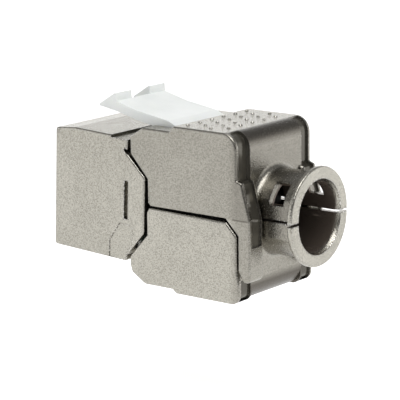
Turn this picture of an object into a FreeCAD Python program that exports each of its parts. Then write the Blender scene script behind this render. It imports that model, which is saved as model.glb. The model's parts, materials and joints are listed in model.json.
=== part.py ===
import FreeCAD, Part
import math
import os

# Shielded tool-less keystone jack, in millimetres.
# The origin is the middle of the housing's front face, +Y runs to the cable end and +Z is up.
# The two rear covers have their own frame, tilted a little against the housing.

# Front housing
body_width = 14.5
body_height = 14.9
side_wall = 1.25
top_wall = 1.3
bottom_wall = 1.25
front_wall = 1.2
corner_round = 0.35
edge_round = 0.2
lead_in_length = 3.0
lead_in_drop = 0.4
lead_in_round = 2.0
rear_step_length = 2.5
rear_step_depth = 0.28

# Plug port; the housing's length follows its depth
port_depth = 10.9
port_height = 6.8
port_side_gap = 0.05
port_roof = 3.4
key_width = 6.2
key_depth = 1.7
key_slot_width = 3.4
key_slot_depth = 1.1
top_overhang = 0.3
bottom_overhang = 0.5
tab_overhang = 3.0

# Side tabs of the housing, seen from the side; heights count from the housing's top and bottom
tab_upper_corner_drop = 4.38
tab_upper_root_drop = 2.02
tab_lower_corner_rise = 3.8
tab_lower_root_rise = 1.15
tab_lower_root_inset = 0.4
tab_round = 0.3
tip_width = 0.42
tip_reach = 0.55
slot_width = 0.38
slot_depth = 0.7
slot_inset = 2.65
slot_top_gap = 0.82
slot_bottom_gap = 1.3
ramp_width = 0.45
ramp_depth = 0.16
foot_length = 2.7
foot_knee_length = 1.2
foot_knee_rise = 0.65
foot_corner_rise = 2.15
foot_depth = 0.07

# Fixed catch under the housing
catch_width = 6.5
catch_height = 0.75
catch_length = 2.2
catch_gap = 0.05

# Latch; heights count from the housing's top, lengths forward from its barrel
latch_inset = 2.65
latch_thickness = 1.15
latch_reach = 9.1
latch_front_rise = 3.4
latch_knee_reach = 5.75
latch_knee_rise = 2.72
latch_bend_reach = 1.05
latch_bend_rise = 2.2
latch_tail_length = 0.6
latch_tail_rise = 1.55
latch_curve = 3.0
latch_bend_round = 1.0
latch_bend_shift = 0.3
latch_tip_round = 0.2
latch_tail_round = 0.25
hook_width = 2.9
hook_height = 0.95
hook_length = 2.45
hook_nose = 0.25
hook_root = 0.6
hook_root_depth = 0.15
hook_crest = 0.25
hook_crest_fall = 0.05
hook_crest_round = 0.15
hook_round = 0.1
barrel_rise = 0.3
barrel_setback = 1.75
barrel_radius = 0.7
barrel_clearance = 0.05
barrel_inset = 0.6
neck_width = 0.9
socket_wall = 0.45
socket_lip = 0.35
tongue_thickness = 1.0

# Cover frame
cover_tilt = 2.7
cover_gap = 0.5
cover_drop = 0.25
cover_wall = 1.25
cover_roof = 1.4
cover_floor = 1.28
rear_wall = 1.3
strip_width = 2.25
panel_proud = 0.3
cover_length = 13.0
running_gap = 0.2
edge_softness = 0.25
fine_corner = 0.1
small_corner = 0.2
soft_corner = 0.3

# Upper cover, in the cover frame
pad_rise = 1.95
pad_height = 0.65
pad_start = 3.4
pad_bevel = 0.55
rear_roll = 1.9
panel_roll = 1.9
upper_front = -2.5
upper_front_drop = 1.2
upper_slope_end = -0.6
upper_slope_round = 0.6
upper_root_gap = 0.07
upper_corner_gap = 0.32
parting_z = -0.45
parting_gap = 0.3
parting_front_gap = 0.18
parting_rear_gap = 0.4
parting_chamfer = 0.4
ear_width = 2.7
ear_front = 13.15
ear_thickness = 1.7
ear_overlap = 0.15
ear_toe = 1.3
ear_toe_depth = 0.75
ear_shoulder_drop = 5.3
ear_shoulder_depth = 0.7
ear_shoulder_fall = 0.25
ear_knee_round = 1.2
ear_foot_round = 0.6
ear_full_z = -0.3
ear_chamfer = 1.8
ear_edge_round = 0.45
groove_rim = 0.5
groove_depth = 0.25
groove_end = -3.5
groove_start = 1.5
grip_rows = 4
grip_first_row = 4.9
grip_row_pitch = 1.675
grip_pitch = 2.25
grip_radius = 0.26
grip_top_radius = 0.13
grip_height = 0.14

# Lower cover, in the cover frame
nose_drop = 2.48
floor_height = 0.45
floor_start = 4.05
floor_bevel = 0.55
lower_front = -2.85
lower_front_drop = 0.45
lower_slope_start = -2.55
lower_slope_rise = 1.13
lower_slope_end = -0.64
lower_slope_round = 0.5
nose_round = 0.8
lower_root_gap = 0.55
lower_corner_gap = 0.3
lower_edge_front = -0.2
lower_edge_drop = 0.5
nose_wall = 0.6
heel_drop = 0.45
heel_proud = 0.25
heel_taper = 1.5
heel_top_round = 0.5
heel_roll = 1.25
heel_groove_end = 0.3
floor_roll = 2.0
lower_panel_inset = 0.05

# Cable ring, split between the covers
tube_ear_gap = 0.15
tube_wall = 0.6
tube_crown = 0.35
mouth_flare = 0.35
mouth_depth = 0.8
flange_width = 1.42
flange_thickness = 0.7
flange_round = 0.22
tube_end = 19.4
tube_flare = 0.8
tube_root_inset = 0.2
upper_ring_rise = 0.2
window_start = 15.5
window_length = 2.0
window_bottom = 1.45
window_height = 2.4

# Hinges of the covers, in the cover frame; heights count from the housing's top and bottom
upper_hinge_y = -1.53
upper_hinge_drop = 0.62
lower_hinge_y = -1.76
lower_hinge_drop = 0.07
trunnion_radius = 0.45
trunnion_clearance = 0.05
trunnion_length = 0.65
trunnion_end_gap = 0.1
lug_radius = 0.75
lug_thickness = 0.8
lug_side_gap = 0.2
lug_length = 2.2

# Inside
fit_gap = 0.1
contact_count = 8
contact_pitch = 1.016
contact_width = 0.45
contact_thickness = 0.3
contact_rise = 0.9
contact_front = 2.5
contact_tip_y = 8.0
contact_dip = 1.9
contact_tip_rise = 0.2
contact_bend_drop = 0.2
contact_tip_round = 0.1
contact_bend_round = 0.3
contact_top_round = 0.2
contact_slot_lead = 0.6
carrier_wall = 1.0
board_side_gap = 0.4
board_edge_gap = 0.575
board_thickness = 1.4
blade_rows = 2
blades_per_row = 4
blade_margin = 1.4
blade_thickness = 0.4
blade_height = 1.8
blade_length = 5.6
blade_fork = 0.45
blade_fork_depth = 1.6
block_side_gap = 0.7
block_edge_gap = 0.05
blade_row_depth = 1.9
block_depth = 4.9
block_round = 0.3
manager_side_gap = 0.5
manager_overhang = 0.3
manager_rear_gap = 1.7
manager_round = 0.6
manager_bore = 3.0
manager_pocket = 2.4
wire_slot = 1.1
wire_slot_depth = 1.8
spring_thickness = 0.2
spring_width = 2.6
spring_length = 5.2
spring_start = 3.2
spring_bow = 0.3
spring_pocket = 0.5
spring_drop = 3.25

# Working values: how far cutters run past a face, how far joined bodies run into each other, and a tolerance
overcut = 1.0
overlap = 0.1
tiny = 1e-6

# Sizes that follow from the ones above
half_width = body_width / 2
body_top = body_height / 2
body_bottom = -body_height / 2
inner_half = half_width - side_wall
cavity_top = body_top - top_wall
cavity_bottom = body_bottom + bottom_wall
rear_top = body_top - rear_step_depth
port_width = 2 * (inner_half - port_side_gap)
port_top = body_top - port_roof
port_bottom = port_top - port_height
top_length = port_depth + top_overhang
bottom_length = port_depth + bottom_overhang
tab_length = port_depth + tab_overhang
tab_upper_corner = body_top - tab_upper_corner_drop
tab_upper_root = body_top - tab_upper_root_drop
tab_lower_corner = body_bottom + tab_lower_corner_rise
tab_lower_root = body_bottom + tab_lower_root_rise
slot_top = tab_upper_corner - slot_top_gap
slot_bottom = tab_lower_corner + slot_bottom_gap
lug_root = top_length - lug_length

cover_y = tab_length + cover_gap
cover_inner_half = half_width - cover_wall
rear_inner = cover_length - rear_wall
panel_half_width = half_width - strip_width
panel_back = cover_length + panel_proud
pad_top = body_top + pad_rise
seat_top = pad_top - pad_height
upper_root = tab_upper_root + upper_root_gap
upper_corner = tab_upper_corner - upper_corner_gap
ear_inner = half_width - ear_width
ear_back = ear_front + ear_thickness
ear_bottom = body_bottom - ear_overlap
ear_shoulder_z = pad_top - ear_shoulder_drop
lower_edge = parting_z - parting_gap
nose_bottom = body_bottom - nose_drop
floor_bottom = nose_bottom - floor_height
lower_front_bottom = body_bottom - lower_front_drop
lower_slope_top = nose_bottom + lower_slope_rise
lower_root = tab_lower_root - lower_root_gap
lower_corner = tab_lower_corner - lower_corner_gap
heel_top = body_bottom - heel_drop
upper_hinge_z = body_top - upper_hinge_drop
lower_hinge_z = body_bottom - lower_hinge_drop
tube_half_width = ear_inner - tube_ear_gap
tube_root = rear_inner + tube_root_inset
tube_radius = tube_half_width + tube_crown
bore_radius = tube_half_width - tube_wall
mouth_radius = bore_radius + mouth_flare
flange_radius = mouth_radius + flange_width

latch_width = body_width - 2 * latch_inset
latch_axis_y = cover_y + barrel_setback
latch_axis_z = body_top + barrel_rise
latch_front = latch_axis_y - latch_reach
latch_front_top = body_top + latch_front_rise
catch_rear = latch_front - catch_gap

contact_height = port_top + contact_rise
contact_tip_z = port_top - contact_dip
board_front = port_depth + carrier_wall
board_back = board_front + board_thickness
board_width = 2 * (inner_half - board_side_gap)
board_height = cavity_top - cavity_bottom - 2 * board_edge_gap
block_width = 2 * (inner_half - block_side_gap)
block_back = board_back + block_depth
block_top = board_height / 2 + block_edge_gap
blade_row_z = block_top - blade_row_depth
blade_pitch = (block_width - 2 * blade_margin) / (blades_per_row - 1)
manager_width = 2 * (inner_half - manager_side_gap)
manager_height = board_height + 2 * manager_overhang
manager_back = cover_y + rear_inner - manager_rear_gap
spring_centre_z = port_top - spring_drop
far = 4 * tube_end


def V(x, y, z):
    return FreeCAD.Vector(x, y, z)


def box(x0, x1, y0, y1, z0, z1):
    return Part.makeBox(x1 - x0, y1 - y0, z1 - z0, V(x0, y0, z0))


def outline(corners, x):
    """Closed wire in a plane of constant x, from (y, z, radius) corners; rounded corners become arcs."""
    points = [V(x, y, z) for y, z, r in corners]
    edges = []
    count = len(points)
    starts = []
    ends = []
    for i in range(count):
        here = points[i]
        radius = corners[i][2]
        if radius == 0:
            starts.append(here)
            ends.append(here)
            continue
        back = (points[i - 1] - here).normalize()
        ahead = (points[(i + 1) % count] - here).normalize()
        half = back.getAngle(ahead) / 2
        bisector = (back + ahead).normalize()
        start = here + back * (radius / math.tan(half))
        end = here + ahead * (radius / math.tan(half))
        middle = here + bisector * (radius / math.sin(half) - radius)
        edges.append((i, Part.Arc(start, middle, end).toShape()))
        starts.append(start)
        ends.append(end)
    arcs = dict(edges)
    ordered = []
    for i in range(count):
        if i in arcs:
            ordered.append(arcs[i])
        after = starts[(i + 1) % count]
        if (after - ends[i]).Length > tiny:
            ordered.append(Part.makeLine(ends[i], after))
    return Part.Wire(ordered)


def prism(corners, x0, x1):
    return Part.Face(outline(corners, x0)).extrude(V(x1 - x0, 0, 0))


def sharp(points):
    return [(y, z, 0) for y, z in points]


def rod_x(y, z, radius, x0, x1):
    return Part.makeCylinder(radius, x1 - x0, V(x0, y, z), V(1, 0, 0))


def rod_y(z, radius, y0, y1):
    return Part.makeCylinder(radius, y1 - y0, V(0, y0, z), V(0, 1, 0))


def cone_y(z, radius0, radius1, y0, y1):
    return Part.makeCone(radius0, radius1, y1 - y0, V(0, y0, z), V(0, 1, 0))


def mirrored(shape):
    return shape.mirror(V(0, 0, 0), V(1, 0, 0))


def both(shape):
    return [shape, mirrored(shape)]


def soften(shape, radius, wanted):
    """Fillet the edges whose every vertex meets the test."""
    edges = [e for e in shape.Edges if all(wanted(v.Point) for v in e.Vertexes)]
    return shape.makeFillet(radius, edges)


def on_side(x):
    return lambda p: abs(p.x - x) < tiny


def joined(first, others):
    return first.fuse(others).removeSplitter()


def to_body(y, z):
    """A point of the cover frame, in the housing's frame."""
    angle = math.radians(cover_tilt)
    turned_y = y * math.cos(angle) - z * math.sin(angle)
    turned_z = y * math.sin(angle) + z * math.cos(angle)
    return turned_y + cover_y, turned_z + cover_drop


def place_cover(shape):
    turned = shape.copy()
    turned.rotate(V(0, 0, 0), V(1, 0, 0), cover_tilt)
    turned.translate(V(0, cover_y, cover_drop))
    return turned


def hinge_lug(axis_y, axis_z, arm_bottom, arm_top):
    """Arm from the housing's wall to a trunnion on its outer side, at +X."""
    outer = cover_inner_half - lug_side_gap
    inner = outer - lug_thickness
    arm = box(inner, outer, lug_root, axis_y, arm_bottom, arm_top)
    eye = rod_x(axis_y, axis_z, lug_radius, inner, outer)
    trunnion = rod_x(axis_y, axis_z, trunnion_radius, outer, outer + trunnion_length)
    return [arm, eye, trunnion]


def port_cut(y0, y1, clearance):
    """Plug opening with its stepped keyway below."""
    half = port_width / 2 + clearance
    plug = box(-half, half, y0, y1, port_bottom - clearance, port_top)
    key_bottom = port_bottom - key_depth
    key = box(-key_width / 2, key_width / 2, y0, y1, key_bottom, port_top)
    slot = box(-key_slot_width / 2, key_slot_width / 2, y0, y1, key_bottom - key_slot_depth, port_top)
    return plug.fuse([key, slot])


def latch_tongue():
    """Tongue behind the housing's top wall, with the split socket of the latch's barrel."""
    width = latch_width - 2 * fit_gap
    outer = barrel_radius + barrel_clearance + socket_wall
    bottom = rear_top - tongue_thickness
    tongue = box(-width / 2, width / 2, lug_root, latch_axis_y + outer, bottom, rear_top)
    block = box(-width / 2, width / 2, latch_axis_y - outer, latch_axis_y + outer,
                bottom, latch_axis_z + socket_lip)
    bore = rod_x(latch_axis_y, latch_axis_z, barrel_radius + barrel_clearance, -width, width)
    return tongue.fuse(block).cut(bore)


def front_housing():
    lower_root_y = bottom_length + tab_lower_root_inset
    side = [
        (0, body_bottom, corner_round),
        (0, body_top - lead_in_drop, corner_round),
        (lead_in_length, body_top, lead_in_round),
        (top_length, body_top, 0),
        (top_length, tab_upper_root, 0),
        (tab_length, tab_upper_corner, tab_round),
        (tab_length, tab_lower_corner, tab_round),
        (lower_root_y, tab_lower_root, 0),
        (bottom_length, tab_lower_root - tab_lower_root_inset, 0),
        (bottom_length, body_bottom, corner_round),
    ]
    shell = prism(side, -half_width, half_width)
    shell = soften(shell, edge_round, on_side(half_width))
    shell = soften(shell, edge_round, on_side(-half_width))
    shell = shell.cut(box(-far, far, top_length - rear_step_length, far, rear_top, far))
    shell = shell.cut(box(-inner_half, inner_half, front_wall, far, cavity_bottom, cavity_top))
    shell = shell.cut(port_cut(-overcut, front_wall + overcut, 0))

    # Side details: the tip of the upper groove, the slot with its ramp and the shallow foot
    slope = math.atan2(tab_upper_root - tab_upper_corner, tab_length - top_length)
    rise = tip_width / math.cos(slope)
    outside = half_width + overcut
    tip_y = top_length - tip_reach
    tip_z = tab_upper_root + tip_reach * math.tan(slope)
    past_y = top_length + overcut
    past_z = tab_upper_root - overcut * math.tan(slope)
    tip = prism(sharp([
        (past_y, past_z),
        (tip_y, tip_z),
        (tip_y + tip_width / 2, tip_z + rise / 2),
        (past_y, past_z + rise),
    ]), inner_half, outside)
    slot_y = tab_length - slot_inset
    slot = box(half_width - slot_depth, outside, slot_y - slot_width, slot_y, slot_bottom, slot_top)
    ramp = Part.Face(Part.makePolygon([
        V(half_width - ramp_depth, slot_y - slot_width / 2, slot_bottom),
        V(half_width - ramp_depth, slot_y, slot_bottom),
        V(half_width, slot_y + ramp_width, slot_bottom),
        V(outside, slot_y + ramp_width, slot_bottom),
        V(outside, slot_y - slot_width / 2, slot_bottom),
        V(half_width - ramp_depth, slot_y - slot_width / 2, slot_bottom),
    ])).extrude(V(0, 0, slot_top - slot_bottom))
    foot_start = bottom_length - foot_length
    foot_knee_z = tab_lower_corner + foot_knee_rise
    foot = prism(sharp([
        (foot_start, body_bottom - overcut),
        (foot_start, body_bottom + foot_corner_rise),
        (bottom_length - foot_knee_length, foot_knee_z),
        (slot_y + ramp_width, foot_knee_z),
        (slot_y + 2 * ramp_width, foot_knee_z - ramp_width),
        (lower_root_y + ramp_width, tab_lower_root + 2 * ramp_width),
        (lower_root_y - ramp_width, tab_lower_root),
        (bottom_length - ramp_width, body_bottom - overcut),
    ]), half_width - foot_depth, outside)
    pocket = box(inner_half - overlap, inner_half + spring_pocket, spring_start, spring_start + spring_length,
                 spring_centre_z - spring_width / 2 - fit_gap, spring_centre_z + spring_width / 2 + fit_gap)
    for cutter in (tip, slot, ramp, foot, pocket):
        shell = shell.cut(both(cutter))

    # Hinge lugs, latch tongue and the fixed catch underneath
    upper_y, upper_z = to_body(upper_hinge_y, upper_hinge_z)
    lower_y, lower_z = to_body(lower_hinge_y, lower_hinge_z)
    added = []
    for piece in hinge_lug(upper_y, upper_z, rear_top - tongue_thickness, rear_top):
        added += both(piece)
    for piece in hinge_lug(lower_y, lower_z, body_bottom, body_bottom + tongue_thickness):
        added += both(piece)
    added.append(latch_tongue())
    added.append(prism(sharp([
        (catch_rear - catch_length, body_bottom + overlap),
        (catch_rear - catch_length, body_bottom),
        (catch_rear - catch_length / 3, body_bottom - catch_height),
        (catch_rear, body_bottom - catch_height),
        (catch_rear, body_bottom + overlap),
    ]), -catch_width / 2, catch_width / 2))
    return joined(shell, added)


def latch_clip():
    half = latch_width / 2
    knee = latch_axis_y - latch_knee_reach
    knee_top = body_top + latch_knee_rise
    bend = latch_axis_y - latch_bend_reach
    bend_top = body_top + latch_bend_rise
    tail = latch_axis_y + latch_tail_length
    tail_top = body_top + latch_tail_rise
    plate = prism([
        (latch_front, latch_front_top - latch_thickness, latch_tip_round),
        (latch_front, latch_front_top, 0),
        (knee, knee_top, latch_curve),
        (bend, bend_top, latch_bend_round),
        (tail, tail_top, latch_tail_round),
        (tail, tail_top - latch_thickness / 2, latch_tail_round),
        (bend - latch_bend_shift, bend_top - latch_thickness, latch_bend_round),
        (knee, knee_top - latch_thickness, latch_curve),
    ], -half, half)
    underside = latch_front_top - latch_thickness
    hook = prism([
        (latch_front + hook_root, underside - overlap, 0),
        (latch_front - hook_length, underside + hook_nose, hook_round),
        (latch_front - hook_length, underside + 2 * hook_nose, hook_round),
        (latch_front - hook_crest, latch_front_top + hook_height - hook_crest_fall, hook_crest_round),
        (latch_front, latch_front_top + hook_height, hook_round),
        (latch_front + overlap, latch_front_top, 0),
        (latch_front + hook_root, latch_front_top - hook_root_depth, 0),
    ], half - hook_width, half)
    barrel_half = half - barrel_inset
    barrel = rod_x(latch_axis_y, latch_axis_z, barrel_radius, -barrel_half, barrel_half)
    neck = box(-barrel_half, barrel_half, latch_axis_y - neck_width / 2, latch_axis_y + neck_width / 2,
               latch_axis_z, tail_top - latch_thickness / 3)
    return joined(plate, both(hook) + [barrel, neck])


def split_tube(ring_z, panel, upwards):
    """One half of the cable ring: flared tube with flats, and its flange."""
    flare_end = panel + tube_flare
    flare_radius = tube_radius + tube_flare
    middle = tube_flare * (1 - math.sqrt(0.5))
    profile = [
        Part.makeLine(V(0, tube_root, 0), V(flare_radius, tube_root, 0)),
        Part.makeLine(V(flare_radius, tube_root, 0), V(flare_radius, panel, 0)),
        Part.Arc(V(flare_radius, panel, 0), V(tube_radius + middle, panel + middle, 0),
                 V(tube_radius, flare_end, 0)).toShape(),
        Part.makeLine(V(tube_radius, flare_end, 0), V(tube_radius, tube_end, 0)),
        Part.makeLine(V(tube_radius, tube_end, 0), V(0, tube_end, 0)),
        Part.makeLine(V(0, tube_end, 0), V(0, tube_root, 0)),
    ]
    tube = Part.Face(Part.Wire(profile)).revolve(V(0, 0, 0), V(0, 1, 0), 360)
    tube.translate(V(0, 0, ring_z))
    tube = tube.common(box(-tube_half_width, tube_half_width, 0, far, -far, far))
    flange = rod_y(ring_z, flange_radius, tube_end - flange_thickness, tube_end)
    flange = flange.makeFillet(flange_round, [e for e in flange.Edges if len(e.Vertexes) == 1])
    half = tube.fuse(flange)
    edge = parting_z if upwards else lower_edge
    if upwards:
        keep = box(-far, far, 0, far, edge, far)
    else:
        keep = box(-far, far, 0, far, -far, edge)
    return half.common(keep)


def tube_bore(ring_z):
    through = rod_y(ring_z, bore_radius, rear_inner - overcut, tube_end + overcut)
    mouth = cone_y(ring_z, bore_radius, mouth_radius, tube_end - mouth_depth, tube_end)
    return [through, mouth]


def hinge_hole(y, z):
    length = trunnion_length + trunnion_end_gap - lug_side_gap
    radius = trunnion_radius + trunnion_clearance
    return rod_x(y, z, radius, cover_inner_half - overlap, cover_inner_half + length)


def grip_studs():
    """Staggered rows of small studs on the pad."""
    studs = []
    root_radius = grip_radius + overlap * (grip_radius - grip_top_radius) / grip_height
    for row in range(grip_rows):
        y = grip_first_row + row * grip_row_pitch
        shift = grip_pitch / 2 if row % 2 == 0 else 0
        reach = int((half_width - 2 * edge_softness - grip_radius - shift) / grip_pitch)
        for side in (1, -1):
            for k in range(reach + 1):
                if side == -1 and shift == 0 and k == 0:
                    continue
                x = side * (shift + k * grip_pitch)
                root = V(x, y, pad_top - overlap)
                studs.append(Part.makeCone(root_radius, grip_top_radius, overlap + grip_height, root))
    return studs


def rear_groove(core, start, bottom, top):
    """What to cut between the panel and the cheek's rim, down to a core given by its corners."""
    outer = half_width - groove_rim
    band = box(panel_half_width, outer, start, far, bottom, top)
    return band.cut(prism(core, panel_half_width - overlap, outer + overlap))


def upper_cover():
    shoulder = cover_length + ear_shoulder_depth
    cheek = prism([
        (upper_front, upper_root, fine_corner),
        (upper_front, seat_top - upper_front_drop, soft_corner),
        (upper_slope_end, seat_top, upper_slope_round),
        (pad_start, seat_top, small_corner),
        (pad_start + pad_bevel, pad_top, soft_corner),
        (cover_length, pad_top, rear_roll),
        (cover_length, ear_shoulder_z, small_corner),
        (shoulder, ear_shoulder_z - ear_shoulder_fall, soft_corner),
        (ear_back, ear_full_z, ear_knee_round),
        (ear_back, ear_bottom, ear_foot_round),
        (ear_front + ear_toe_depth, ear_bottom, soft_corner),
        (ear_front, ear_bottom + ear_toe, soft_corner),
        (ear_front, parting_z - ear_chamfer, soft_corner),
        (ear_front - ear_chamfer, parting_z, small_corner),
        (parting_chamfer, parting_z, fine_corner),
        (0, parting_z + parting_chamfer, fine_corner),
        (0, upper_corner, small_corner),
    ], ear_inner, half_width)
    cheek = soften(cheek, edge_softness, on_side(half_width))
    ear_inside = soften_ear(cheek)
    inner_roof = pad_top - cover_roof
    centre = prism([
        (pad_start, inner_roof, 0),
        (pad_start, seat_top, fine_corner),
        (pad_start + pad_bevel, pad_top, soft_corner),
        (panel_back, pad_top, panel_roll),
        (panel_back, parting_z, 0),
        (rear_inner, parting_z, 0),
        (rear_inner, inner_roof, 0),
    ], -panel_half_width, panel_half_width)
    shell = centre.fuse(both(ear_inside))
    shell = shell.cut(box(-cover_inner_half, cover_inner_half, -far, rear_inner, -far, inner_roof))
    shell = shell.cut(box(-cover_inner_half, cover_inner_half, -far, upper_slope_end, -far, far))
    notch_half = latch_width / 2 + 2 * running_gap
    shell = shell.cut(box(-notch_half, notch_half, -far, pad_start, -far, far))
    # Groove beside the panel, from the rear roll down and on over the ear
    groove_floor = cover_length - groove_depth
    groove = rear_groove([
        (0, ear_bottom, 0),
        (groove_floor, ear_bottom, 0),
        (groove_floor, pad_top - groove_depth, rear_roll - groove_depth),
        (0, pad_top - groove_depth, 0),
    ], cover_length - groove_start, ear_shoulder_z, far)
    ear_top = ear_shoulder_z + groove_depth
    channel = prism(sharp([
        (groove_floor, ear_top),
        (groove_floor, ear_shoulder_z - groove_depth),
        (shoulder - groove_depth, ear_shoulder_z - 2 * groove_depth),
        (ear_back - groove_depth, ear_full_z),
        (ear_back - groove_depth, groove_end),
        (ear_back + overcut, groove_end),
        (ear_back + overcut, ear_top),
    ]), panel_half_width, half_width - groove_rim)
    shell = shell.cut(both(groove))
    shell = shell.cut(both(channel))
    panel_clear = box(0, panel_half_width + running_gap, rear_inner, panel_back + running_gap,
                      -far, parting_z)
    shell = shell.cut(both(panel_clear))
    ring_z = parting_z + upper_ring_rise
    shell = shell.fuse(split_tube(ring_z, panel_back, True))
    shell = shell.cut(tube_bore(ring_z))
    window = box(bore_radius / 2, far, window_start, window_start + window_length,
                 ring_z + window_bottom, ring_z + window_bottom + window_height)
    shell = shell.cut(both(window))
    shell = shell.cut(both(hinge_hole(upper_hinge_y, upper_hinge_z)))
    return place_cover(joined(shell, grip_studs()))


def soften_ear(cheek):
    """Round the inner rear edge of the ear."""
    def wanted(p):
        below = p.z < ear_shoulder_z - 2 * ear_shoulder_fall
        return abs(p.x - ear_inner) < tiny and p.y > ear_front + ear_toe_depth and below
    return soften(cheek, ear_edge_round, wanted)


def lower_cover():
    nose = [
        (floor_start, floor_bottom, soft_corner),
        (floor_start - floor_bevel, nose_bottom, small_corner),
        (lower_slope_end, nose_bottom, nose_round),
        (lower_slope_start, lower_slope_top, lower_slope_round),
        (lower_front, lower_front_bottom, small_corner),
        (lower_front, lower_root, fine_corner),
        (lower_edge_front, lower_corner, small_corner),
        (lower_edge_front, lower_edge - lower_edge_drop, fine_corner),
        (lower_edge_front + parting_chamfer, parting_z - parting_front_gap, fine_corner),
    ]
    cheek_back = ear_front - running_gap
    offset = running_gap * math.sqrt(2)
    chamfer_top = ear_front - ear_chamfer - offset + parting_rear_gap
    heel_back = cover_length + heel_proud
    cheek = prism([
        (chamfer_top, parting_z - parting_rear_gap, small_corner),
        (cheek_back, parting_z - ear_chamfer - offset + running_gap, soft_corner),
        (cheek_back, heel_top + heel_taper, heel_top_round),
        (heel_back, heel_top, soft_corner),
        (heel_back, floor_bottom, heel_roll),
    ] + nose, panel_half_width - running_gap, half_width)
    cheek = soften(cheek, edge_softness, on_side(half_width))
    panel = panel_back - lower_panel_inset
    centre = prism([
        (panel, lower_edge, 0),
        (panel, floor_bottom, floor_roll),
    ] + nose, -panel_half_width + running_gap, panel_half_width - running_gap)
    shell = centre.fuse(both(cheek))
    inner_floor = floor_bottom + cover_floor
    slope = math.atan2(lower_slope_top - nose_bottom, lower_slope_end - lower_slope_start)
    slope_inside = lower_slope_start + nose_wall * math.sin(slope)
    slope_inside_z = lower_slope_top + nose_wall * math.cos(slope)
    cavity = prism(sharp([
        (-far, pad_top),
        (-far, slope_inside_z),
        (slope_inside, slope_inside_z),
        (slope_inside + (slope_inside_z - inner_floor) / math.tan(slope), inner_floor),
        (rear_inner, inner_floor),
        (rear_inner, pad_top),
    ]), -cover_inner_half, cover_inner_half)
    shell = shell.cut(cavity)
    lug_inner = cover_inner_half - lug_side_gap - lug_thickness - running_gap
    lug_clear = box(lug_inner, cover_inner_half, -far, lower_slope_end, -far, far)
    shell = shell.cut(both(lug_clear))
    groove_floor = heel_back - groove_depth
    heel_end = heel_top + heel_taper
    groove = rear_groove([
        (0, heel_end + overlap, 0),
        (0, floor_bottom + groove_depth, 0),
        (groove_floor, floor_bottom + groove_depth, heel_roll - groove_depth),
        (groove_floor, heel_end + overlap, 0),
    ], cover_length - heel_roll, floor_bottom + heel_groove_end, heel_end)
    shell = shell.cut(both(groove))
    shell = shell.fuse(split_tube(lower_edge, panel, False))
    shell = shell.cut(tube_bore(lower_edge))
    shell = shell.cut(both(hinge_hole(lower_hinge_y, lower_hinge_z)))
    return place_cover(shell.removeSplitter())


def contact_x(index):
    return (index - (contact_count - 1) / 2) * contact_pitch


def blade_x(index):
    return (index - (blades_per_row - 1) / 2) * blade_pitch


def contact_carrier():
    half = inner_half - fit_gap
    carrier = box(-half, half, front_wall, board_front, cavity_bottom + fit_gap, cavity_top - fit_gap)
    carrier = carrier.cut(port_cut(0, port_depth, fit_gap))
    for index in range(contact_count):
        x = contact_x(index)
        slot_half = contact_width / 2 + fit_gap
        top = contact_height + contact_thickness + fit_gap
        room = box(x - slot_half, x + slot_half, contact_front - contact_slot_lead, port_depth - carrier_wall,
                   port_top - overcut, top)
        leg = box(x - slot_half, x + slot_half, port_depth - 1.5 * carrier_wall, far,
                  contact_height - fit_gap, top)
        carrier = carrier.cut([room, leg])
    return carrier.removeSplitter()


def port_contact(index):
    """Spring contact: a leg through the carrier and the board, bent back into the port."""
    x = contact_x(index)
    top = contact_height + contact_thickness
    drop = (contact_height - contact_tip_z) / (contact_tip_y - contact_front)
    thick = contact_thickness * math.sqrt(1 + drop ** 2)
    band = prism([
        (board_back, top, 0),
        (board_back, contact_height, 0),
        (contact_front + 2 * contact_thickness / drop, contact_height, 0),
        (contact_tip_y, contact_tip_z + contact_tip_rise, 0),
        (contact_tip_y, contact_tip_z + contact_tip_rise - thick, contact_tip_round),
        (contact_front, contact_height - contact_bend_drop, contact_bend_round),
        (contact_front, top, contact_top_round),
    ], x - contact_width / 2, x + contact_width / 2)
    return band


def circuit_board():
    half = board_width / 2
    tall = board_height / 2
    board = box(-half, half, board_front, board_back, -tall, tall)
    hole_half = contact_width / 2 + fit_gap
    hole_bottom = contact_height - fit_gap
    hole_top = contact_height + contact_thickness + fit_gap
    for index in range(contact_count):
        x = contact_x(index)
        board = board.cut(box(x - hole_half, x + hole_half, 0, far, hole_bottom, hole_top))
    return board


def row_sign(row):
    return 1 if row == 0 else -1


def blade_box(row, index, grow, y0, y1):
    x = blade_x(index)
    z = row_sign(row) * blade_row_z
    thick = blade_thickness / 2 + grow
    high = blade_height / 2 + grow
    return box(x - thick, x + thick, y0, y1, z - high, z + high)


def terminal_block(row):
    z = row_sign(row) * blade_row_z
    half = block_width / 2
    outer = row_sign(row) * block_top
    # The two blocks meet at mid height
    block = box(-half, half, board_back, block_back, min(0, outer), max(0, outer))
    block = soften(block, block_round, lambda p: p.y > block_back - tiny)
    # The contact legs end flush in the board, so only the blades need room
    for index in range(blades_per_row):
        block = block.cut(blade_box(row, index, fit_gap / 2, 0, far))
        x = blade_x(index)
        wire = box(x - wire_slot / 2, x + wire_slot / 2, block_back - wire_slot_depth, far,
                   z - blade_fork, z + blade_fork)
        block = block.cut(wire)
    return block


def terminal_blade(row, index):
    blade = blade_box(row, index, 0, board_back, board_back + blade_length)
    x = blade_x(index)
    z = row_sign(row) * blade_row_z
    fork_root = board_back + blade_length - blade_fork_depth
    fork = box(x - overcut, x + overcut, fork_root, far, z - blade_fork / 2, z + blade_fork / 2)
    return blade.cut(fork)


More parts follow.
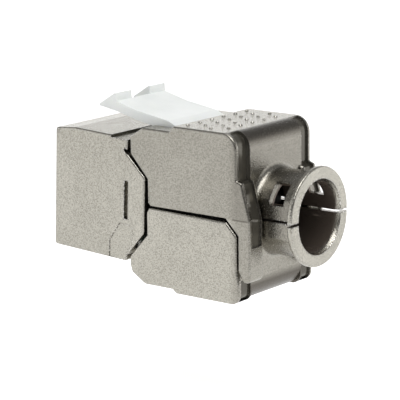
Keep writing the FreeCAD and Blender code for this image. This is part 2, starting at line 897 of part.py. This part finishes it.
def wire_manager():
    half = manager_width / 2
    tall = manager_height / 2
    body = box(-half, half, block_back, manager_back, -tall, tall)
    corners = [e for e in body.Edges if abs(e.Vertexes[0].Y - e.Vertexes[1].Y) > tiny]
    body = body.makeFillet(manager_round, corners)
    body = body.cut(rod_y(0, manager_bore, block_back + manager_pocket, far))
    for row in range(blade_rows):
        z = row_sign(row) * blade_row_z
        outer = row_sign(row) * (tall + overcut)
        for index in range(blades_per_row):
            x = blade_x(index)
            body = body.cut(blade_box(row, index, fit_gap, 0, block_back + manager_pocket))
            wire = box(x - wire_slot / 2, x + wire_slot / 2, block_back + manager_pocket,
                       block_back + manager_pocket + wire_slot_depth, min(z, outer), max(z, outer))
            body = body.cut(wire)
    return body.removeSplitter()


def shield_spring():
    """Leaf in the port's side, bowed towards the plug."""
    start = spring_start + fit_gap
    end = spring_start + spring_length - fit_gap
    middle = (start + end) / 2
    outer = inner_half + spring_pocket
    crest = inner_half + spring_pocket - spring_thickness - spring_bow

    def leaf(shift, bow):
        return Part.Arc(V(shift, start, 0), V(bow, middle, 0), V(shift, end, 0)).toShape()

    inner = leaf(outer - spring_thickness, crest)
    back = leaf(outer, crest + spring_thickness)
    ends = [
        Part.makeLine(inner.Vertexes[1].Point, back.Vertexes[1].Point),
        Part.makeLine(back.Vertexes[0].Point, inner.Vertexes[0].Point),
    ]
    face = Part.Face(Part.Wire(Part.__sortEdges__([inner, ends[0], back, ends[1]])))
    spring = face.extrude(V(0, 0, spring_width))
    spring.translate(V(0, 0, spring_centre_z - spring_width / 2))
    return spring


def all_pieces():
    pieces = {
        "front_housing": front_housing(),
        "latch_clip": latch_clip(),
        "upper_cover": upper_cover(),
        "lower_cover": lower_cover(),
        "contact_carrier": contact_carrier(),
        "circuit_board": circuit_board(),
        "upper_terminal_block": terminal_block(0),
        "lower_terminal_block": terminal_block(1),
        "wire_manager": wire_manager(),
        "shield_spring_right": shield_spring(),
        "shield_spring_left": mirrored(shield_spring()),
    }
    for index in range(contact_count):
        pieces["port_contact_%d" % (index + 1)] = port_contact(index)
    for row in range(blade_rows):
        for index in range(blades_per_row):
            pieces["terminal_blade_%d" % (row * blades_per_row + index + 1)] = terminal_blade(row, index)
    return pieces


os.makedirs("parts", exist_ok=True)
for node, shape in all_pieces().items():
    shape.exportStep("parts/%s.step" % node)
    print(node, shape.isValid(), len(shape.Solids), round(shape.Volume, 3))
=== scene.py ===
import json
import math

import bpy
from mathutils import Matrix, Vector


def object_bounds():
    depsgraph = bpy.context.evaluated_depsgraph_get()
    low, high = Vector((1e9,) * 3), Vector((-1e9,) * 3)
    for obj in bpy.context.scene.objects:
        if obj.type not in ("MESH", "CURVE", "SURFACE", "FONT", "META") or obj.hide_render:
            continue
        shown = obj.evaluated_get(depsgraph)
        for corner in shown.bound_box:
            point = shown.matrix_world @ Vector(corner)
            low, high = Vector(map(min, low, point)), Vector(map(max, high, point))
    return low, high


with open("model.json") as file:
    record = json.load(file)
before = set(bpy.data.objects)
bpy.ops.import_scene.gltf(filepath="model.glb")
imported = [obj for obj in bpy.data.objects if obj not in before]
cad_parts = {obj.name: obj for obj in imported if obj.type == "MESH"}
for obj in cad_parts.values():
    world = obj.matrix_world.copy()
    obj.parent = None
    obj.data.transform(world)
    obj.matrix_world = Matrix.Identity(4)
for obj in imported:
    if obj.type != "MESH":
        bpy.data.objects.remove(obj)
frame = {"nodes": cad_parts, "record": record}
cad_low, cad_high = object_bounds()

scene = bpy.context.scene
nodes = frame["nodes"]

MM = 0.001

# Camera, from the photograph: where it stands, its turn, and its lens on a 36 mm sensor
EYE = Vector((181.54, 157.62, 58.05)) * MM
AZIMUTH = math.radians(127.87)
ELEVATION = math.radians(14.24)
ROLL = math.radians(1.48)
LENS = 180.0
SENSOR = 36.0
IMAGE = 400
SHIFT_PIXELS = (0.5, -1.0)

# Cover frame of the CAD source: its place and its tilt about X
COVER_ORIGIN = (0.0, 14.4 * MM, 0.25 * MM)
COVER_TILT = math.radians(2.7)

# Places on the covers, in that frame and in millimetres, that are smoother or darker than the sides, the
# darkness being painted shade and painted dark reflection:
# the rear grooves, the panel's rolls, the ring and its bore, the rear, and a painted shade line on the ear
# where a small ledge would show
GROOVE_SIDES = (5.0, 6.76)
GROOVE_START = 11.5
GROOVE_END = -3.5
EAR_BACK = 15.2
HEEL_TOP = -7.6
HEEL_START = 12.5
TOP_ROLL = (11.5, 7.9)
BOTTOM_ROLL = (11.0, -8.1)
ROLL_SOFT = 0.45
RING_HEIGHT = -0.5
BORE_RADIUS = 4.2
BORE_END = 18.9
REAR_START = 12.4
REAR_SOFT = 0.5
FLANGE = 18.5
FLANGE_SOFT = 0.2
PARTING = -0.5
PARTING_SOFT = 0.1
FLANK = 7.1
EAR_SHADE_LINE = (12.4, 14.6, -0.5, -0.32)

# Tints of the cast metal, and how far each place takes them on: painted shade and painted dark reflection on
# the edges, rear, rolls, ear line, grooves and bore, darker on the upper half's sides and rear, and a painted
# highlight for the glint specks on the edges
DARK = (0.11, 0.10, 0.085)
GROOVE_SHADE = (0.085, 0.078, 0.062)
BORE_SHADE = (0.14, 0.11, 0.09)
PAINTED_GLINT = (0.97, 0.96, 0.93)
EDGE_SHADE_SHARE = 0.95
REAR_SHADE_SHARE = 0.34
TOP_SHARE = 0.25
EAR_SHADE_LINE_SHARE = 0.7
RECESS_SHADE_SHARE = 0.94

# Grain of the cast metal: sizes in millimetres, and how it calms down at the edges and in the recesses
BROAD_SIZE = 5.0
GRAIN_SIZE = 0.15
SPECK_SIZE = 0.13
EDGE_SIZE = 0.36
EDGE_TURN = 0.9
RELIEF_DEPTH = 0.06
RELIEF_STRENGTH = 0.8
CAST_ROUGHNESS = (0.18, 0.32)
EDGE_GLOSS = 0.1
RECESS_GLOSS = 0.12
REAR_CALM = 0.4
RECESS_METAL = 0.55

# Brightness of the tent's walls and of its darker ceiling, by the height of the direction looked in
TENT_LEVELS = ((0.30, 1.45), (0.46, 0.35))

# The side the camera stands on, where the tent is open and darker
OPEN_SIDE = (0.79, 0.61, 0.0)
OPEN_LEVEL = 0.2
OPEN_FADE = (0.2, 0.6)

# Middle of the part in millimetres, and the lamp above it: place, size and watts
MIDDLE = (0, 16, 0)
KEY_PLACE = (110, 130, 380)
KEY_SIZE = 320
KEY_WATTS = 1.35

# Depth of the floor below the part in millimetres, clear of the lower cover when it is open
FLOOR_DROP = 14.5

# The floor's half width in metres, and its glow: beside the part, away from it, and far off, each fading over
# the distances in millimetres, less on the open side, and even to the camera
FLOOR_REACH = 1.2
FLOOR_GLOW = (0.47, 0.31)
FLOOR_FADE = (35, 110)
FAR_GLOW = 0.6
FAR_FADE = (115, 230)
OPEN_START = 110
OPEN_SOFT = 25
SEEN_GLOW = 0.6

SMOOTH_ANGLE = math.radians(28)
WELD = 1e-6


def smooth_modifier():
    """Modifier tree that welds split vertices and shades smooth up to an angle."""
    tree = bpy.data.node_groups.new("smooth_shading", "GeometryNodeTree")
    tree.interface.new_socket("Geometry", in_out="INPUT", socket_type="NodeSocketGeometry")
    tree.interface.new_socket("Geometry", in_out="OUTPUT", socket_type="NodeSocketGeometry")
    start = tree.nodes.new("NodeGroupInput")
    end = tree.nodes.new("NodeGroupOutput")
    weld = tree.nodes.new("GeometryNodeMergeByDistance")
    weld.inputs["Distance"].default_value = WELD
    faces = tree.nodes.new("GeometryNodeSetShadeSmooth")
    faces.domain = "FACE"
    edges = tree.nodes.new("GeometryNodeSetShadeSmooth")
    edges.domain = "EDGE"
    edges.inputs["Shade Smooth"].default_value = False
    angle = tree.nodes.new("GeometryNodeInputMeshEdgeAngle")
    steep = tree.nodes.new("FunctionNodeCompare")
    steep.operation = "GREATER_THAN"
    steep.inputs[1].default_value = SMOOTH_ANGLE
    link = tree.links.new
    link(start.outputs[0], weld.inputs["Geometry"])
    link(weld.outputs[0], faces.inputs["Geometry"])
    link(faces.outputs[0], edges.inputs["Geometry"])
    link(angle.outputs["Unsigned Angle"], steep.inputs[0])
    link(steep.outputs[0], edges.inputs["Selection"])
    link(edges.outputs[0], end.inputs[0])
    return tree


class Paint:
    """Small helper to write a material's node tree."""

    def __init__(self, name):
        self.material = bpy.data.materials.new(name)
        self.material.use_nodes = True
        self.tree = self.material.node_tree
        self.shader = self.tree.nodes["Principled BSDF"]
        self.coords = self.add("ShaderNodeTexCoord").outputs["Object"]

    def add(self, kind, **settings):
        node = self.tree.nodes.new(kind)
        for key, value in settings.items():
            setattr(node, key, value)
        return node

    def link(self, source, target):
        self.tree.links.new(source, target)

    def set(self, socket, value):
        self.shader.inputs[socket].default_value = value

    def noise(self, size_mm, detail=2.0, stretch=None):
        """Noise whose grains are about size_mm across."""
        coords = self.coords
        if stretch:
            mapping = self.add("ShaderNodeMapping")
            mapping.inputs["Scale"].default_value = stretch
            self.link(coords, mapping.inputs["Vector"])
            coords = mapping.outputs["Vector"]
        node = self.add("ShaderNodeTexNoise")
        node.inputs["Scale"].default_value = 1.0 / (size_mm * MM)
        node.inputs["Detail"].default_value = detail
        self.link(coords, node.inputs["Vector"])
        return node.outputs["Fac"]

    def ramp(self, value, stops):
        node = self.add("ShaderNodeValToRGB")
        elements = node.color_ramp.elements
        while len(elements) < len(stops):
            elements.new(0.5)
        for element, (place, colour) in zip(elements, stops):
            element.position = place
            element.color = (*colour, 1.0)
        self.link(value, node.inputs["Fac"])
        return node.outputs["Color"]

    def range(self, value, low, high, from_low=0.0, from_high=1.0):
        node = self.add("ShaderNodeMapRange")
        node.inputs["From Min"].default_value = from_low
        node.inputs["From Max"].default_value = from_high
        node.inputs["To Min"].default_value = low
        node.inputs["To Max"].default_value = high
        self.link(value, node.inputs["Value"])
        return node.outputs["Result"]

    def math(self, operation, first, second):
        node = self.add("ShaderNodeMath", operation=operation)
        for socket, value in zip(node.inputs, (first, second)):
            if isinstance(value, (int, float)):
                socket.default_value = value
            else:
                self.link(value, socket)
        return node.outputs[0]

    def mix(self, factor, first, second, blend="MIX"):
        node = self.add("ShaderNodeMix", data_type="RGBA", blend_type=blend)
        sockets = [s for s in node.inputs if s.type == "RGBA"]
        for socket, value in zip([node.inputs["Factor"]] + sockets, (factor, first, second)):
            if isinstance(value, (int, float)):
                socket.default_value = value
            elif isinstance(value, tuple):
                socket.default_value = (*value, 1.0)
            else:
                self.link(value, socket)
        return [s for s in node.outputs if s.type == "RGBA"][0]

    def bump(self, height, distance_mm, strength):
        node = self.add("ShaderNodeBump")
        node.inputs["Distance"].default_value = distance_mm * MM
        node.inputs["Strength"].default_value = strength
        self.link(height, node.inputs["Height"])
        self.link(node.outputs["Normal"], self.shader.inputs["Normal"])

    def cover_coords(self):
        """Coordinates in the cover frame of the CAD source, as x, y and z."""
        mapping = self.add("ShaderNodeMapping", vector_type="TEXTURE")
        mapping.inputs["Location"].default_value = COVER_ORIGIN
        mapping.inputs["Rotation"].default_value = (COVER_TILT, 0.0, 0.0)
        self.link(self.coords, mapping.inputs["Vector"])
        split = self.add("ShaderNodeSeparateXYZ")
        self.link(mapping.outputs["Vector"], split.inputs["Vector"])
        return split.outputs

    def above(self, value, place_mm, soft_mm=0.04):
        return self.range(value, 0.0, 1.0, (place_mm - soft_mm) * MM, (place_mm + soft_mm) * MM)

    def below(self, value, place_mm, soft_mm=0.04):
        return self.range(value, 1.0, 0.0, (place_mm - soft_mm) * MM, (place_mm + soft_mm) * MM)

    def all_of(self, *masks):
        result = masks[0]
        for mask in masks[1:]:
            result = self.math("MULTIPLY", result, mask)
        return result

    def edge(self, radius_mm):
        """One where the surface turns, from the rounded normal against the true one."""
        bevel = self.add("ShaderNodeBevel", samples=6)
        bevel.inputs["Radius"].default_value = radius_mm * MM
        flat = self.add("ShaderNodeNewGeometry").outputs["Normal"]
        dot = self.add("ShaderNodeVectorMath", operation="DOT_PRODUCT")
        self.link(bevel.outputs["Normal"], dot.inputs[0])
        self.link(flat, dot.inputs[1])
        return self.range(dot.outputs["Value"], 1.0, 0.0, EDGE_TURN, 1.0)


def cover_shade_masks(paint):
    """Masks of the covers' grooves, bore, rear, upper half, painted shade line on the ear and rolls: where
    painted shade goes, and the darker upper half.
    """
    x, y, z = paint.cover_coords()
    side = paint.math("ABSOLUTE", x, 0.0)
    in_groove = paint.all_of(paint.above(side, GROOVE_SIDES[0]), paint.below(side, GROOVE_SIDES[1]))
    upper = paint.all_of(paint.above(z, GROOVE_END), paint.above(y, GROOVE_START), paint.below(y, EAR_BACK))
    lower = paint.all_of(paint.below(z, HEEL_TOP), paint.above(y, HEEL_START))
    groove = paint.all_of(in_groove, paint.math("MAXIMUM", upper, lower))
    top_roll = paint.all_of(paint.above(y, TOP_ROLL[0], ROLL_SOFT), paint.above(z, TOP_ROLL[1], ROLL_SOFT))
    low_roll = paint.all_of(paint.above(y, BOTTOM_ROLL[0], ROLL_SOFT),
                            paint.below(z, BOTTOM_ROLL[1], ROLL_SOFT))
    roll = paint.all_of(paint.below(side, GROOVE_SIDES[0]), paint.math("MAXIMUM", top_roll, low_roll))
    flank = paint.above(side, FLANK)
    rear = paint.all_of(paint.above(y, REAR_START, REAR_SOFT), paint.below(y, FLANGE, FLANGE_SOFT))
    top = paint.all_of(paint.above(z, PARTING, PARTING_SOFT), paint.math("MAXIMUM", flank, rear))
    # Mask of a painted shade line on the ear, where a small ledge that is not built would show
    ear_shade_line = paint.all_of(flank, paint.above(y, EAR_SHADE_LINE[0]), paint.below(y, EAR_SHADE_LINE[1]),
                           paint.above(z, EAR_SHADE_LINE[2]), paint.below(z, EAR_SHADE_LINE[3]))
    height = paint.math("SUBTRACT", z, RING_HEIGHT * MM)
    square = paint.math("ADD", paint.math("MULTIPLY", x, x), paint.math("MULTIPLY", height, height))
    radius = paint.math("SQRT", square, 0.0)
    bore = paint.all_of(paint.below(radius, BORE_RADIUS), paint.below(y, BORE_END, FLANGE_SOFT))
    return groove, bore, rear, top, ear_shade_line, roll


def cast_nickel(name, covers):
    """Satin nickel plate on a zinc casting: warm grey with a sandy grain and glossier edges, darkened along
    the edges with painted shade and dotted there with painted glint specks.
    """
    paint = Paint(name)
    broad = paint.noise(BROAD_SIZE, 2.0)
    grain = paint.noise(GRAIN_SIZE, 3.0)
    specks = paint.noise(SPECK_SIZE, 1.0)
    base = paint.ramp(broad, [(0.3, (0.435, 0.417, 0.368)), (0.7, (0.485, 0.466, 0.413))])
    tone = paint.ramp(grain, [(0.38, (0.68, 0.68, 0.67)), (0.54, (1.0, 1.0, 1.0))])
    base = paint.mix(1.0, base, tone, "MULTIPLY")
    edge = paint.edge(EDGE_SIZE)
    # Painted shade: the edges are darkened toward DARK, standing in for the dark reflection along the fillets
    base = paint.mix(paint.math("MULTIPLY", edge, EDGE_SHADE_SHARE), base, DARK)
    # Painted highlight: bright specks along the edges, standing in for glints of the lamps
    painted_glint = paint.math("MULTIPLY", edge, paint.range(specks, 0.0, 1.0, 0.56, 0.62))
    base = paint.mix(painted_glint, base, PAINTED_GLINT)
    rough = paint.range(grain, *CAST_ROUGHNESS)
    rough = paint.math("SUBTRACT", rough, paint.math("MULTIPLY", edge, EDGE_GLOSS))
    relief = grain
    if covers:
        groove, bore, rear, top, ear_shade_line, roll = cover_shade_masks(paint)
        # Painted shade: the rear is darkened, standing in for the dark surroundings it reflects
        base = paint.mix(paint.math("MULTIPLY", rear, REAR_SHADE_SHARE), base, DARK)
        base = paint.mix(paint.math("MULTIPLY", top, TOP_SHARE), base, DARK)
        # Painted shade: a dark line on the ear, standing in for the light and shade of a small ledge
        base = paint.mix(paint.math("MULTIPLY", ear_shade_line, EAR_SHADE_LINE_SHARE), base, DARK)
        # Painted shade: the panel's top and bottom rolls are darkened, standing in for the dark ceiling and
        # the shade under the part that they reflect
        base = paint.mix(roll, base, DARK)
        # Painted shade: the rear grooves are darkened, standing in for the ear's shadow and the dark
        # surroundings they mirror
        base = paint.mix(paint.math("MULTIPLY", groove, RECESS_SHADE_SHARE), base, GROOVE_SHADE)
        # Painted shade: the bore is darkened, standing in for the shade inside the ring
        base = paint.mix(paint.math("MULTIPLY", bore, RECESS_SHADE_SHARE), base, BORE_SHADE)
        smooth = paint.math("MAXIMUM", groove, bore)
        rough = paint.math("SUBTRACT", rough, paint.math("MULTIPLY", smooth, RECESS_GLOSS))
        quiet = paint.math("MULTIPLY", paint.math("MAXIMUM", rear, roll), REAR_CALM)
        calm = paint.math("MAXIMUM", smooth, quiet)
        relief = paint.math("MULTIPLY", grain, paint.math("SUBTRACT", 1.0, calm))
        paint.link(paint.range(smooth, 1.0, RECESS_METAL), paint.shader.inputs["Metallic"])
    else:
        paint.set("Metallic", 1.0)
    paint.link(base, paint.shader.inputs["Base Color"])
    paint.link(rough, paint.shader.inputs["Roughness"])
    paint.bump(relief, RELIEF_DEPTH, RELIEF_STRENGTH)
    return paint.material


def latch_white():
    paint = Paint("latch_white")
    broad = paint.noise(3.0, 2.0)
    fine = paint.noise(0.12, 2.0)
    base = paint.ramp(broad, [(0.3, (0.80, 0.825, 0.81)), (0.7, (0.86, 0.88, 0.865))])
    paint.link(base, paint.shader.inputs["Base Color"])
    paint.link(paint.range(fine, 0.34, 0.5), paint.shader.inputs["Roughness"])
    paint.set("Subsurface Weight", 0.25)
    paint.set("Subsurface Radius", (0.8 * MM, 0.8 * MM, 0.7 * MM))
    paint.set("Subsurface Scale", 1.0)
    paint.bump(fine, 0.006, 0.25)
    return paint.material


def moulded(name, dark, light, rough_low, rough_high):
    """Moulded plastic with a fine spark-eroded grain."""
    paint = Paint(name)
    broad = paint.noise(2.5, 2.0)
    fine = paint.noise(0.1, 2.0)
    paint.link(paint.ramp(broad, [(0.3, dark), (0.7, light)]), paint.shader.inputs["Base Color"])
    paint.link(paint.range(fine, rough_low, rough_high), paint.shader.inputs["Roughness"])
    paint.bump(fine, 0.008, 0.3)
    return paint.material


def plated(name, dark, light, rough_low, rough_high):
    """Rolled metal strip, drawn along Y."""
    paint = Paint(name)
    streaks = paint.noise(0.12, 2.0, stretch=(1.0, 0.08, 1.0))
    paint.link(paint.ramp(streaks, [(0.3, dark), (0.7, light)]), paint.shader.inputs["Base Color"])
    paint.set("Metallic", 1.0)
    paint.link(paint.range(streaks, rough_low, rough_high), paint.shader.inputs["Roughness"])
    paint.bump(streaks, 0.004, 0.2)
    return paint.material


def board_green():
    """Solder mask with darker weave and faint tracks."""
    paint = Paint("board_green")
    weave = paint.noise(0.3, 1.0)
    tracks = paint.noise(1.4, 0.0, stretch=(1.0, 1.0, 0.25))
    base = paint.ramp(weave, [(0.35, (0.012, 0.075, 0.035)), (0.65, (0.02, 0.11, 0.05))])
    base = paint.mix(paint.range(tracks, 0.0, 0.5, 0.52, 0.56), base, (0.05, 0.17, 0.07))
    paint.link(base, paint.shader.inputs["Base Color"])
    paint.link(paint.range(weave, 0.22, 0.38), paint.shader.inputs["Roughness"])
    paint.bump(tracks, 0.01, 0.2)
    return paint.material


FINISHES = {
    "housing_zinc": cast_nickel("housing_nickel", False),
    "cover_zinc": cast_nickel("cover_nickel", True),
    "latch_plastic": latch_white(),
    "carrier_plastic": moulded("carrier_black", (0.012, 0.012, 0.013), (0.022, 0.022, 0.023), 0.42, 0.6),
    "block_plastic": moulded("block_grey", (0.03, 0.03, 0.032), (0.045, 0.045, 0.047), 0.45, 0.62),
    "manager_plastic": moulded("manager_black", (0.012, 0.011, 0.011), (0.022, 0.02, 0.019), 0.5, 0.65),
    "contact_gold": plated("contact_gold", (0.75, 0.50, 0.16), (0.86, 0.62, 0.25), 0.16, 0.28),
    "blade_bronze": plated("blade_tin", (0.52, 0.50, 0.46), (0.64, 0.62, 0.58), 0.25, 0.4),
    "spring_steel": plated("spring_steel", (0.42, 0.42, 0.41), (0.55, 0.55, 0.54), 0.22, 0.36),
    "board_laminate": board_green(),
}

shading = smooth_modifier()
slot_of = {entry["node"]: entry["material_slot"] for entry in frame["record"]["subparts"]}
for name, obj in nodes.items():
    finish = FINISHES[slot_of[name]]
    if not obj.material_slots:
        obj.data.materials.append(finish)
    for slot in obj.material_slots:
        slot.material = finish
    modifier = obj.modifiers.new("smooth_shading", "NODES")
    modifier.node_group = shading
    level_faces = obj.modifiers.new("level_faces", "WEIGHTED_NORMAL")
    level_faces.weight = 100
    level_faces.keep_sharp = True


# Floor
floor_mesh = bpy.data.meshes.new("floor")
level = cad_low.z - FLOOR_DROP * MM
corners = [(x * FLOOR_REACH, y * FLOOR_REACH, level) for x, y in ((-1, -1), (1, -1), (1, 1), (-1, 1))]
floor_mesh.from_pydata(corners, [], [(0, 1, 2, 3)])
floor = bpy.data.objects.new("floor", floor_mesh)
scene.collection.objects.link(floor)
floor_paint = Paint("floor_pale")
floor_paint.link(
    floor_paint.ramp(floor_paint.noise(40.0, 2.0), [(0.3, (0.90, 0.90, 0.90)), (0.7, (0.93, 0.93, 0.93))]),
    floor_paint.shader.inputs["Base Color"])
floor_paint.set("Roughness", 0.8)
distance = floor_paint.add("ShaderNodeVectorMath", operation="DISTANCE")
distance.inputs[1].default_value = (MIDDLE[0] * MM, MIDDLE[1] * MM, level)
floor_paint.link(floor_paint.coords, distance.inputs[0])
floor_paint.set("Emission Color", (1.0, 1.0, 1.0, 1.0))
glow = floor_paint.range(distance.outputs["Value"], *FLOOR_GLOW, FLOOR_FADE[0] * MM, FLOOR_FADE[1] * MM)
far_glow = floor_paint.range(distance.outputs["Value"], 0.0, FAR_GLOW, FAR_FADE[0] * MM, FAR_FADE[1] * MM)
glow = floor_paint.math("ADD", glow, far_glow)
towards = floor_paint.add("ShaderNodeVectorMath", operation="DOT_PRODUCT")
towards.inputs[1].default_value = OPEN_SIDE
floor_paint.link(floor_paint.coords, towards.inputs[0])
glow = floor_paint.math("MULTIPLY", glow, floor_paint.below(towards.outputs["Value"], OPEN_START, OPEN_SOFT))
seen = floor_paint.add("ShaderNodeLightPath").outputs["Is Camera Ray"]
glow = floor_paint.math("MAXIMUM", glow, floor_paint.math("MULTIPLY", seen, SEEN_GLOW))
floor_paint.link(glow, floor_paint.shader.inputs["Emission Strength"])
floor_mesh.materials.append(floor_paint.material)


# Lamp
key_data = bpy.data.lights.new("key", "AREA")
key_data.shape = "SQUARE"
key_data.size = KEY_SIZE * MM
key_data.energy = KEY_WATTS
key = bpy.data.objects.new("key", key_data)
key.location = Vector(KEY_PLACE) * MM
key.rotation_mode = "QUATERNION"
key.rotation_quaternion = (Vector(MIDDLE) * MM - key.location).to_track_quat("-Z", "Y")
scene.collection.objects.link(key)


def studio_world():
    """White to the camera; softer and unevenly lit, like a light tent, to everything else."""
    world = bpy.data.worlds.new("studio")
    world.use_nodes = True
    tree = world.node_tree
    shown = tree.nodes["Background"]
    shown.inputs["Color"].default_value = (1.0, 1.0, 1.0, 1.0)
    shown.inputs["Strength"].default_value = 1.0
    tent = tree.nodes.new("ShaderNodeBackground")
    tent.inputs["Color"].default_value = (1.0, 1.0, 1.0, 1.0)
    coords = tree.nodes.new("ShaderNodeTexCoord")
    split = tree.nodes.new("ShaderNodeSeparateXYZ")
    fade = tree.nodes.new("ShaderNodeMapRange")
    (wall_end, wall), (ceiling_start, ceiling) = TENT_LEVELS
    fade.inputs["From Min"].default_value = wall_end
    fade.inputs["From Max"].default_value = ceiling_start
    fade.inputs["To Min"].default_value = wall
    fade.inputs["To Max"].default_value = ceiling
    towards = tree.nodes.new("ShaderNodeVectorMath")
    towards.operation = "DOT_PRODUCT"
    towards.inputs[1].default_value = OPEN_SIDE
    opening = tree.nodes.new("ShaderNodeMapRange")
    opening.inputs["From Min"].default_value = OPEN_FADE[0]
    opening.inputs["From Max"].default_value = OPEN_FADE[1]
    opening.inputs["To Min"].default_value = 1.0
    opening.inputs["To Max"].default_value = OPEN_LEVEL
    strength = tree.nodes.new("ShaderNodeMath")
    strength.operation = "MULTIPLY"
    path = tree.nodes.new("ShaderNodeLightPath")
    choose = tree.nodes.new("ShaderNodeMixShader")
    link = tree.links.new
    link(coords.outputs["Generated"], split.inputs["Vector"])
    link(split.outputs["Z"], fade.inputs["Value"])
    link(coords.outputs["Generated"], towards.inputs[0])
    link(towards.outputs["Value"], opening.inputs["Value"])
    link(fade.outputs["Result"], strength.inputs[0])
    link(opening.outputs["Result"], strength.inputs[1])
    link(strength.outputs[0], tent.inputs["Strength"])
    link(path.outputs["Is Camera Ray"], choose.inputs["Fac"])
    link(tent.outputs[0], choose.inputs[1])
    link(shown.outputs[0], choose.inputs[2])
    link(choose.outputs[0], tree.nodes["World Output"].inputs["Surface"])
    return world


scene.world = studio_world()
scene.view_settings.view_transform = "Standard"

# Camera
flat = math.cos(ELEVATION)
back = Vector((math.sin(AZIMUTH) * flat, -math.cos(AZIMUTH) * flat, math.sin(ELEVATION)))
right = Vector((math.cos(AZIMUTH), math.sin(AZIMUTH), 0.0))
up = back.cross(right)
turned_right = right * math.cos(ROLL) + up * math.sin(ROLL)
turned_up = up * math.cos(ROLL) - right * math.sin(ROLL)
camera_data = bpy.data.cameras.new("camera")
camera_data.lens = LENS
camera_data.sensor_width = SENSOR
camera_data.clip_start = 0.01
camera_data.clip_end = 10.0
camera_data.shift_x = SHIFT_PIXELS[0] / IMAGE
camera_data.shift_y = SHIFT_PIXELS[1] / IMAGE
camera = bpy.data.objects.new("camera", camera_data)
turn = Matrix((turned_right, turned_up, back)).transposed()
camera.matrix_world = Matrix.Translation(EYE) @ turn.to_4x4()
scene.collection.objects.link(camera)
scene.camera = camera
